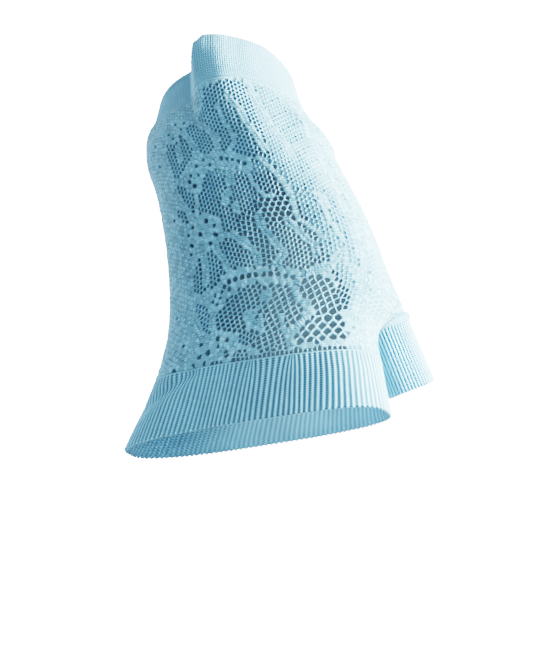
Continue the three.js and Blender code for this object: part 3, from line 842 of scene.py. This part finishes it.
def gather_knots(places):
    """Knots nearer than the yarn is thick become one."""
    tree = KDTree(len(places))
    for k, (x, y) in enumerate(places):
        tree.insert((x, y, 0), k)
    tree.balance()
    home = {}
    knots = []
    for k, (x, y) in enumerate(places):
        if k in home:
            continue
        group = [m for _, m, _ in tree.find_range((x, y, 0), KNOT_REACH) if m not in home]
        for m in group:
            home[m] = len(knots)
        knots.append(places[group].mean(0))
    return knots, home


def cell_width(middle, corners):
    """Distance from a cell's middle to its nearest side."""
    nearest = math.inf
    for a, b in zip(corners, corners[1:] + corners[:1]):
        edge = b - a
        off = edge[0] * (middle[1] - a[1]) - edge[1] * (middle[0] - a[0])
        nearest = min(nearest, abs(off) / np.linalg.norm(edge))
    return nearest


# The least half width of a mesh, and of the yarn beside it; a narrower one is knitted plain
LEAST_MESH = 0.22
LEAST_YARN = 0.2
SEAM_MARGIN = 4
TINY = 1e-6


def lace_cells():
    """The net: every stitch or mesh has the cell of points nearest to it, and the yarn
    runs along the borders of the cells. y runs up the glove here, so y = -along."""
    sites, ghosts = with_ghosts(all_needles())
    spots = [Vector((x, -y)) for x, y, _, _ in sites] + [Vector((x, -y)) for x, y in ghosts]
    coords, _, triangles, origins, _, _ = delaunay_2d_cdt(spots, [], [], 0, TINY)
    coords = np.array([c[:] for c in coords])
    a, b, c = (coords[[t[k] for t in triangles]] for k in range(3))
    ab, ac = b - a, c - a
    twice = 2 * (ab[:, 0] * ac[:, 1] - ab[:, 1] * ac[:, 0])
    ab2, ac2 = (ab ** 2).sum(1), (ac ** 2).sum(1)
    off = np.stack([ac[:, 1] * ab2 - ab[:, 1] * ac2, ab[:, 0] * ac2 - ac[:, 0] * ab2], 1)
    middles = a + off / twice[:, None]
    knots, home = gather_knots(middles)
    around = {}
    for k, triangle in enumerate(triangles):
        for corner in triangle:
            around.setdefault(corner, []).append(k)
    cells = []
    for corner, source in enumerate(origins):
        if not source or source[0] >= len(sites):
            continue
        x, y, yarn, _ = sites[source[0]]
        if not -SEAM_MARGIN < x < AROUND + SEAM_MARGIN:
            continue
        ring = sorted(around[corner], key=lambda k: math.atan2(middles[k][1] + y, middles[k][0] - x))
        loop = list(dict.fromkeys(home[k] for k in ring))
        if len(loop) < 3:
            continue
        if yarn:
            room = cell_width((x, -y), [knots[k] for k in loop]) - LEAST_MESH
            yarn = round(min(yarn, room), 2) if room > LEAST_YARN else 0
        cells.append((x, loop, yarn))
    return knots, cells


# The yarn's own form, in mm: its crest stands over the cloth, and a mesh has a rounded
# shoulder that takes a part of the yarn's width. The tone rises from painted shade in the
# pits and valleys to painted highlight over TONE_RISE, from TONE_FROM below the flat crest,
# and what lies above OUTER_FROM is the outer side.
YARN_THICK = 0.8
NET_CREST = 0.25
TONE_FROM = 0.45
TONE_RISE = 0.7
OUTER_FROM = -0.6
SHOULDER_DROP = 0.14
SHOULDER_PART = 0.6
ROUNDING = 0.35
LEAST_SHRINK = 0.33
STITCH_YARN = 0.42
STITCH_DIPS = [-0.05, 0.03, 0.12]
STITCH_POINT = 0.03
STITCH_SEED = 5
KNOT_DIP = (0.06, 0.36)
KNOT_LIFT = 0.04
STRAND_DIP = 0.2
STRAND_LIFT = 0.14
STRAND_SLANT = 0.4
YARN_WELD = 0.004
WALL_SLOPE = 0.5


def draw_in(bm, faces, yarn, sink, rounding):
    """Insets faces by the width of the yarn and sinks them. Their new outlines are partly
    rounded, and never shrink to less than a third."""
    bmesh.ops.inset_individual(bm, faces=faces, thickness=0, depth=-sink, use_even_offset=True)
    for face in faces:
        middle = face.calc_center_median()
        rays = [(v, v.co - middle) for v in face.verts]
        scales = [max(LEAST_SHRINK, 1 - yarn / max(ray.length, TINY)) for _, ray in rays]
        radius = sum(ray.length * scale for (_, ray), scale in zip(rays, scales)) / len(rays)
        for (v, ray), scale in zip(rays, scales):
            v.co = middle + ray * mix(scale, radius / max(ray.length, TINY), rounding)


def mesh_depth(face, yarn):
    """How deep a mesh goes on its outer side; open ones meet the inner side there."""
    middle = face.calc_center_median()
    along = -middle.y
    open_to = np.interp(along, *np.array(OPEN_TO).T)
    if middle.x < OPEN_FROM or open_to < middle.x < PALM_FROM:
        streak = sum(math.sin(a * middle.x + b * along) for a, b in SPECK_WAVES)
        return SPECK_DEPTH if streak > SPECK_ABOVE and OPEN_FROM < middle.x < SPECKS_TO else DIMPLE_DEPTH
    if middle.x >= PALM_FROM:
        return PIT_DEPTH
    if along > OPEN_ALONG:
        return OPEN_DEPTH
    return HOLE_DEPTH if yarn > YARN_WIDE + 0.01 else PIT_DEPTH


def meshes_by_form(faces, width):
    """The meshes among the faces, grouped by the width of their yarn and their depth."""
    groups = {}
    for face in faces:
        yarn = round(face[width], 2)
        if yarn > 0:
            groups.setdefault((yarn, mesh_depth(face, yarn)), []).append(face)
    return groups


def open_part(vertex, width):
    """The part of the faces at a vertex that are meshes."""
    return sum(f[width] > 0 for f in vertex.link_faces) / len(vertex.link_faces)


def strand_lift(edge_run):
    """Lift of the middle of a strand from its direction."""
    slant = edge_run.x * edge_run.y / max(edge_run.x ** 2 + edge_run.y ** 2, 1e-9)
    return STRAND_LIFT + STRAND_SLANT * slant


def lay_net(bm, width, knots, cells, start, end):
    """The flat cells of a piece, at the back of the cloth."""
    made = {}
    for x, loop, yarn in cells:
        if not start <= x < end:
            continue
        for k in loop:
            if k not in made:
                made[k] = bm.verts.new((knots[k][0], knots[k][1], -YARN_THICK))
        bm.faces.new([made[k] for k in loop])[width] = yarn


def set_lifts(bm, width, lift, dice):
    """Plain knots dip unevenly and the strands between meshes are bowed up, or down."""
    strands = [e for e in bm.edges if any(f[width] > 0 for f in e.link_faces)]
    for vertex in bm.verts:
        vertex[lift] = mix(-dice.uniform(*KNOT_DIP), KNOT_LIFT, open_part(vertex, width))
    for vertex in bmesh.ops.bisect_edges(bm, edges=strands, cuts=1)["geom_split"]:
        if isinstance(vertex, bmesh.types.BMVert):
            ends = [e.other_vert(vertex).co for e in vertex.link_edges]
            vertex[lift] = mix(-STRAND_DIP, strand_lift(ends[0] - ends[1]), open_part(vertex, width))


# How the lace meets its neighbours: it is level with the welt at the top and tucked under
# the band at the bottom, and its waver fades towards both. Its painted shading evens out
# towards the welt and turns to painted shade where it tucks under the band
LACE_UNEVEN = 0.2
LACE_EASE = 8
WELT_MEETS = 2.5
WELT_FLUSH = 0.12
WELT_PULL = 0.7
WELT_TONE = 0.55
WELT_BLEND = 0.8
BAND_MEETS = 0.45
BAND_TUCK = 0.3
BAND_TONE = 0.35


def lay_lace(flat):
    across, along, height = flat[:, 0], -flat[:, 1], flat[:, 2] + NET_CREST
    top = smooth((along - LACE_TOP) / LACE_EASE)
    bottom = smooth((LACE_BOTTOM - along) / LACE_EASE)
    height = height + LACE_UNEVEN * waver(across, along, seed=31) * top * bottom
    # painted shading: painted shade down in the pits, holes and valleys, painted highlight on the crests of
    # the yarn
    painted_shading = smooth((flat[:, 2] + TONE_FROM) / TONE_RISE)
    outer_part = flat[:, 2] > OUTER_FROM
    welt_part = (1 - smooth((along - LACE_TOP) / WELT_MEETS)) * outer_part
    band_part = (1 - smooth((LACE_BOTTOM - along) / BAND_MEETS)) * outer_part
    height += welt_part * (WELT_FLUSH - height) * WELT_PULL - band_part * BAND_TUCK
    # near the welt the painted shading evens out, and under the band it goes to painted shade
    painted_shading = mix(mix(painted_shading, WELT_TONE, welt_part * WELT_BLEND), BAND_TONE, band_part)
    return cloth_places(across, along, height), painted_shading


def lace_piece(name, knots, cells, start, end):
    bm = bmesh.new()
    width = bm.faces.layers.float.new("yarn")
    lift = bm.verts.layers.float.new("lift")
    lay_net(bm, width, knots, cells, start, end)
    set_lifts(bm, width, lift, random.Random(name))

    inner = bm.faces[:]
    raised = bmesh.ops.extrude_face_region(bm, geom=bm.faces[:])["geom"]
    crests = [g for g in raised if isinstance(g, bmesh.types.BMVert)]
    outer = [g for g in raised if isinstance(g, bmesh.types.BMFace)]
    bmesh.ops.translate(bm, verts=crests, vec=(0, 0, YARN_THICK))
    bmesh.ops.recalc_face_normals(bm, faces=bm.faces)
    for face in bm.faces:
        if abs(face.normal.z) < WALL_SLOPE:
            for edge in face.edges:
                edge.smooth = False

    plain = [f for f in outer if f[width] == 0]
    random.Random(STITCH_SEED).shuffle(plain)
    outer_meshes = meshes_by_form(outer, width)
    inner_meshes = meshes_by_form(inner, width)
    open_faces = []
    for (yarn, depth), faces in outer_meshes.items():
        draw_in(bm, faces, yarn * SHOULDER_PART, SHOULDER_DROP, ROUNDING / 2)
        draw_in(bm, faces, yarn * (1 - SHOULDER_PART), depth - SHOULDER_DROP, ROUNDING)
        if depth == OPEN_DEPTH:
            open_faces += faces
    for (yarn, depth), faces in inner_meshes.items():
        if depth == OPEN_DEPTH:
            draw_in(bm, faces, yarn, YARN_THICK - OPEN_DEPTH, ROUNDING)
            open_faces += faces
    for k, dip in enumerate(STITCH_DIPS):
        draw_in(bm, plain[k::len(STITCH_DIPS)], STITCH_YARN, dip, 0)
    bmesh.ops.poke(bm, faces=plain, offset=STITCH_POINT)
    bmesh.ops.delete(bm, geom=open_faces, context="FACES_ONLY")
    for vertex in crests:
        vertex.co.z += vertex[lift]
    bmesh.ops.remove_doubles(bm, verts=bm.verts, dist=YARN_WELD)

    flat = np.array([v.co[:] for v in bm.verts])
    points, painted_shading = lay_lace(flat)
    return knit_object(name, bm, points, flat[:, :2], painted_shading, weld=False)


# The lace is in three pieces, with seams away from its back; columns: name, from and to across
LACE_PIECES = [
    ["lace_back", 3, 84],
    ["lace_thumb_side", 84, 131],
    ["lace_palm", 131, 188],
]


def lace_body():
    knots, cells = lace_cells()
    return [lace_piece(name, knots, cells, start, end) for name, start, end in LACE_PIECES]


def linear(code):
    """A hex colour as linear RGBA."""
    parts = [int(code[k:k + 2], 16) / 255 for k in (1, 3, 5)]
    return [p / 12.92 if p <= 0.04045 else ((p + 0.055) / 1.055) ** 2.4 for p in parts] + [1]


def add(tree, kind, settings=None, values=None, links=None):
    """Adds a node, with its settings, its sockets' values and what feeds its sockets."""
    node = tree.nodes.new(kind)
    for key, value in (settings or {}).items():
        setattr(node, key, value)
    for key, value in (values or {}).items():
        node.inputs[key].default_value = value
    for key, source in (links or {}).items():
        tree.links.new(source, node.inputs[key])
    return node


# The part of the light that goes on through the loose thin cloth
LIGHT_THROUGH = 0.25
# ends of the yarn's tone: painted shade for the valleys and pits, painted highlight for the crests
YARN_PAINTED_SHADE = "#386b8a"
YARN_PAINTED_HIGHLIGHT = "#8cd8ff"
FLUFF_TINT = "#e6f4f8"

# The legs of a V lean by so many courses over a wale, and the gap between two wales is so
# deep beside them. The fluff and the uneven dye are sized per metre.
LEG_LEAN = 1.2
WALE_GAP = 2.4
FLUFF_SCALE = 2600
FLUFF_HEIGHT = 0.06
DYE_SCALE = 110


def yarn_material(name, wale, course, stitch_depth, ladder=0):
    """Soft-spun cotton yarn, piece-dyed light blue and knitted. The eye sees a matt, slightly
    hairy surface of small Vs, with painted shade down between the stitches and in the valleys
    and painted highlight on the raised yarn. ladder sets the painted shade and highlight of the
    rungs of yarn that cross the valleys of a rib."""
    material = bpy.data.materials.new(name)
    material.use_nodes = True
    tree = material.node_tree
    tree.nodes.clear()
    maths = "ShaderNodeMath"
    times = {"operation": "MULTIPLY"}
    times_plus = {"operation": "MULTIPLY_ADD"}
    place = add(tree, "ShaderNodeUVMap", {"uv_map": "knitting"})
    painted_shading = add(tree, "ShaderNodeAttribute", {"attribute_name": "painted_shading"})
    split = add(tree, "ShaderNodeSeparateXYZ", links={0: place.outputs[0]})
    # wales: a saw that is 0 at a wale's middle and 0.5 between two wales
    wales = add(tree, maths, times, {1: 1 / (wale * MM)}, {0: split.outputs[0]})
    saw = add(tree, maths, {"operation": "PINGPONG"}, {1: 0.5}, {0: wales.outputs[0]})
    courses = add(tree, maths, times, {1: 1 / (course * MM)}, {0: split.outputs[1]})
    # the two legs of each stitch lean towards its middle and make a V
    leaning = add(tree, maths, times_plus, {1: LEG_LEAN}, {0: saw.outputs[0], 2: courses.outputs[0]})
    turned = add(tree, maths, times, {1: 2 * math.pi}, {0: leaning.outputs[0]})
    legs = add(tree, maths, {"operation": "SINE"}, links={0: turned.outputs[0]})
    gap = add(tree, maths, {"operation": "POWER"}, {1: 2}, {0: saw.outputs[0]})
    height = add(tree, maths, times_plus, {1: -WALE_GAP}, {0: gap.outputs[0], 2: legs.outputs[0]})
    # stray fibres are far too thin to show, so their fluff is drawn about 0.4 mm coarse
    body = add(tree, "ShaderNodeTexCoord")
    fluff = add(tree, "ShaderNodeTexNoise", values={"Scale": FLUFF_SCALE, "Detail": 3, "Roughness": 0.65},
                links={"Vector": body.outputs["Object"]})
    dye = add(tree, "ShaderNodeTexNoise", values={"Scale": DYE_SCALE, "Detail": 3, "Roughness": 0.5},
              links={"Vector": body.outputs["Object"]})
    bumped = add(tree, "ShaderNodeBump", values={"Strength": 1, "Distance": stitch_depth * MM},
                 links={"Height": height.outputs[0]})
    hairy = add(tree, "ShaderNodeBump", values={"Strength": 0.4, "Distance": FLUFF_HEIGHT * MM},
                links={"Height": fluff.outputs["Fac"], "Normal": bumped.outputs[0]})
    # the tone goes from painted shade in the valleys to painted highlight on the crests, and
    # the uneven dye and the painted shade between the stitches vary it
    tone = add(tree, "ShaderNodeMix", {"data_type": "RGBA"}, {6: linear(YARN_PAINTED_SHADE), 7: linear(YARN_PAINTED_HIGHLIGHT)},
               {0: painted_shading.outputs["Fac"]})
    uneven = add(tree, "ShaderNodeMapRange",
                 values={"From Min": 0.3, "From Max": 0.7, "To Min": 0.9, "To Max": 1.08},
                 links={"Value": dye.outputs["Fac"]})
    # painted shade between the stitches and painted highlight on their legs, from the heights of the bump
    painted_stitch_shading = add(tree, "ShaderNodeMapRange",
                      values={"From Min": -1.6, "From Max": 1, "To Min": 0.5, "To Max": 1.2},
                      links={"Value": height.outputs[0]})
    both = add(tree, maths, times, links={0: uneven.outputs[0], 1: painted_stitch_shading.outputs[0]})
    # rungs: painted shade and highlight of the yarn crossing the valleys, a wave along the courses that shows
    # only in the valleys
    rung_turn = add(tree, maths, times, {1: 2 * math.pi}, {0: courses.outputs[0]})
    rungs = add(tree, maths, {"operation": "COSINE"}, links={0: rung_turn.outputs[0]})
    low = add(tree, "ShaderNodeMapRange",
              values={"From Min": 0, "From Max": 0.55, "To Min": ladder, "To Max": 0},
              links={"Value": painted_shading.outputs["Fac"]})
    painted_rung_shading = add(tree, maths, times_plus,
                    links={0: rungs.outputs[0], 1: low.outputs[0], 2: both.outputs[0]})
    colour = add(tree, "ShaderNodeHueSaturation",
                 links={"Color": tone.outputs[2], "Value": painted_rung_shading.outputs[0]})
    shader = add(tree, "ShaderNodeBsdfPrincipled", values={
        "Roughness": 0.88,
        "IOR": 1.5,
        "Specular IOR Level": 0.25,
        "Sheen Weight": 0.2,
        "Sheen Roughness": 0.4,
        "Sheen Tint": linear(FLUFF_TINT),
    }, links={"Base Color": colour.outputs[0], "Normal": hairy.outputs[0]})
    glow = add(tree, "ShaderNodeBsdfTranslucent",
               links={"Color": colour.outputs[0], "Normal": hairy.outputs[0]})
    cloth = add(tree, "ShaderNodeMixShader", values={0: LIGHT_THROUGH},
                links={1: shader.outputs[0], 2: glow.outputs[0]})
    add(tree, "ShaderNodeOutputMaterial", links={"Surface": cloth.outputs[0]})
    return material


BOARD_GREY = "#eceff1"
BOARD_ROUGHNESS = 0.8


def board_material():
    """Matt painted studio board, which the eye sees as an even pale ground."""
    material = bpy.data.materials.new("painted_board")
    material.use_nodes = True
    shader = material.node_tree.nodes["Principled BSDF"]
    shader.inputs["Base Color"].default_value = linear(BOARD_GREY)
    shader.inputs["Roughness"].default_value = BOARD_ROUGHNESS
    return material


def dress(obj, node, material):
    obj.data.materials.append(material)
    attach(obj, "root")
    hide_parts(node)


def make_glove():
    cuff_wale = 2 * math.pi * THUMB_RING / CUFF_RIBS
    lace_yarn = yarn_material("cotton_lace_knit", STITCH_ACROSS / 2, STITCH_ALONG / 2, stitch_depth=0.06)
    band_yarn = yarn_material("cotton_hem_rib", AROUND / RIBS, COURSE, stitch_depth=0.03, ladder=0.36)
    welt_yarn = yarn_material("cotton_wrist_rib", AROUND / WELT_WALES, COURSE, stitch_depth=0.06)
    cuff_yarn = yarn_material("cotton_thumb_rib", cuff_wale, COURSE, stitch_depth=0.08, ladder=0.3)
    dress(wrist_welt(), "wrist_welt", welt_yarn)
    dress(finger_band(), "finger_band", band_yarn)
    dress(thumb_cuff(), "thumb_cuff", cuff_yarn)
    for piece in lace_body():
        dress(piece, "lace_body", lace_yarn)


# Studio, in metres: the camera looks up at the glove's back from below
VIEW_BACK = Vector((0.402, -0.862, -0.309)).normalized()
VIEW_DISTANCE = 0.75
LOOK_FROM = Vector((0.014, -0.015, -0.065)) + VIEW_BACK * VIEW_DISTANCE
LOOK_AT = Vector((0.0102, -0.0069, -0.0924))
LENS = 117.4
CLIP_START = 0.05
FLOOR_LEVEL = -0.5
FLOOR_REACH = 9
ROOM_TINT = "#f4f7fa"
ROOM_LIGHT = 0.97
ROOM_SEEN = 20

# The key and its edge stand to the right, the glow to the left. Two weak ones stand for what
# the white surroundings throw on the flare of the hem and on the cuff. The last three are in
# the tube and lighten what shows through the meshes and under the hem.
# columns: name, at, towards, width, height, spread in degrees, watts, colour
GLOVE_MIDDLE = (0.012, -0.015, -0.07)
DAYLIGHT = "#f8fbff"
LIGHTS = [
    ["key", (1.285, 0.012, 0.19), GLOVE_MIDDLE, 0.35, 0.35, 40, 18.5, "#ffdec9"],
    ["key_edge", (1.15, -0.36, 0.42), GLOVE_MIDDLE, 0.12, 0.12, 40, 1.1, DAYLIGHT],
    ["backdrop_glow", (-0.983, 0.358, 0.49), GLOVE_MIDDLE, 1, 1, 120, 13, DAYLIGHT],
    ["hem_glow", (-0.22, -0.12, -0.2), (-0.034, -0.03, -0.136), 0.06, 0.06, 14, 0.006, DAYLIGHT],
    ["cuff_glow", (0.24, -0.28, -0.22), (0.068, 0, -0.112), 0.06, 0.06, 11, 0.022, DAYLIGHT],
    ["inside_hem", (0.015, -0.029, -0.122), (0.015, 0.1, -0.135), 0.06, 0.02, 120, 0.006, "#fff4ec"],
    ["inside_low", (0.024, -0.029, -0.104), (0.024, 0.1, -0.1), 0.06, 0.02, 115, 0.006, "#ffb890"],
    ["inside_high", (0.03, -0.029, -0.068), (0.03, 0.1, -0.068), 0.04, 0.07, 115, 0.03, "#ffc4a2"],
]


def aimed(obj, start, end):
    obj.location = start
    obj.rotation_mode = "QUATERNION"
    obj.rotation_quaternion = (end - start).to_track_quat("-Z", "Y")
    bpy.context.collection.objects.link(obj)
    return obj


def make_camera():
    camera = bpy.data.objects.new("camera", bpy.data.cameras.new("camera"))
    camera.data.lens = LENS
    camera.data.clip_start = CLIP_START
    bpy.context.scene.camera = aimed(camera, LOOK_FROM, LOOK_AT)


def make_lights():
    for name, at, towards, width, height, spread, power, colour in LIGHTS:
        light = bpy.data.objects.new(name, bpy.data.lights.new(name, "AREA"))
        light.data.shape = "ELLIPSE"
        light.data.size = width
        light.data.size_y = height
        light.data.spread = math.radians(spread)
        light.data.energy = power
        light.data.color = linear(colour)[:3]
        aimed(light, Vector(at), Vector(towards)).visible_camera = False


def make_room():
    """The room lights the object softly and is plain white to the eye."""
    world = bpy.data.worlds.new("white_room")
    world.use_nodes = True
    tree = world.node_tree
    tree.nodes.clear()
    seen = add(tree, "ShaderNodeLightPath")
    lit = add(tree, "ShaderNodeBackground", values={"Color": linear(ROOM_TINT), "Strength": ROOM_LIGHT})
    shown = add(tree, "ShaderNodeBackground", values={"Color": linear("#ffffff"), "Strength": ROOM_SEEN})
    both = add(tree, "ShaderNodeMixShader", links={0: seen.outputs["Is Camera Ray"],
                                                   1: lit.outputs[0], 2: shown.outputs[0]})
    add(tree, "ShaderNodeOutputWorld", links={0: both.outputs[0]})
    scene = bpy.context.scene
    scene.world = world
    scene.view_settings.view_transform = "Filmic"
    scene.view_settings.look = "Medium High Contrast"

    bm = bmesh.new()
    bmesh.ops.create_grid(bm, x_segments=1, y_segments=1, size=FLOOR_REACH)
    bmesh.ops.translate(bm, verts=bm.verts, vec=(0, 0, FLOOR_LEVEL))
    mesh = bpy.data.meshes.new("floor")
    bm.to_mesh(mesh)
    bm.free()
    mesh.materials.append(board_material())
    floor = bpy.data.objects.new("floor", mesh)
    bpy.context.collection.objects.link(floor)


make_glove()
make_camera()
make_lights()
make_room()
